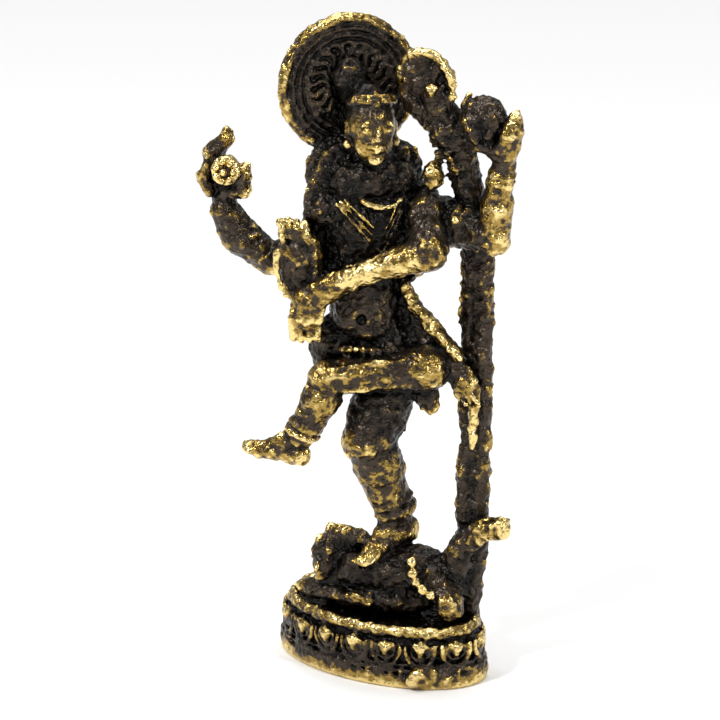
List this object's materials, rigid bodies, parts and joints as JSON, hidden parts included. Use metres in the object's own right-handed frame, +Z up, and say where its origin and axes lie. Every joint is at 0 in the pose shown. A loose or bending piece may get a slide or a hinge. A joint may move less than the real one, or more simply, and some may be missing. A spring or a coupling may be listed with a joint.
{
  "type": "brass nataraja statue",
  "caption": "Cast brass four-armed dancer on a lying dwarf and oval lotus plinth, with a hair disc and a cobra pillar.",
  "frame": {"origin": "middle of the plinth's underside", "axes": "+Z up, +X along the plinth's long axis towards the cobra pillar, -Y is the side the figure faces"},
  "size_m": [0.0222, 0.0104, 0.0437],
  "materials": {
    "brass": "cast brass worn bright on raised areas",
    "dark_brass": "cast brass under a dark brown patina"
  },
  "bodies": {
    "root": {"plinth_foot": "brass", "plinth_core": "dark_brass", "lotus_petals": "dark_brass", "petal_beads": "brass", "plinth_rim": "brass", "casting_blob": "brass", "dwarf_torso": "dark_brass", "dwarf_head": "dark_brass", "dwarf_hair": "dark_brass", "dwarf_arm": "dark_brass", "dwarf_beads": "brass", "dwarf_near_leg": "dark_brass", "dwarf_raised_leg": "dark_brass", "dwarf_raised_foot": "brass", "standing_thigh": "dark_brass", "standing_shin": "dark_brass", "knee_band": "dark_brass", "standing_anklet": "dark_brass", "standing_foot": "dark_brass", "raised_thigh": "brass", "raised_shin": "brass", "raised_anklet": "brass", "raised_foot": "brass", "pelvis": "dark_brass", "belt": "brass", "hip_sash": "dark_brass", "sash_flap": "dark_brass", "belly": "dark_brass", "chest": "dark_brass", "neck": "dark_brass", "necklace": "brass", "chest_scarf": "dark_brass", "back_drape": "dark_brass", "head": "brass", "diadem": "dark_brass", "topknot": "dark_brass", "ear_ornament": "dark_brass", "shoulder_hair": "dark_brass", "hair_disc": "dark_brass", "disc_rim": "brass", "hair_locks": "dark_brass", "right_arm": "dark_brass", "right_hand": "dark_brass", "left_arm": "dark_brass", "left_forearm": "brass", "left_hand": "dark_brass", "drum_arm": "dark_brass", "drum_forearm": "dark_brass", "drum_hand": "dark_brass", "drum": "brass", "fire_arm": "dark_brass", "fire_forearm": "brass", "armlet": "brass", "bracelet": "brass", "fire_hand": "dark_brass", "flame": "dark_brass", "cobra_pillar": "dark_brass", "cobra_neck": "dark_brass", "cobra_hood": "dark_brass", "sash_end": "dark_brass"}
  },
  "joints": []
}
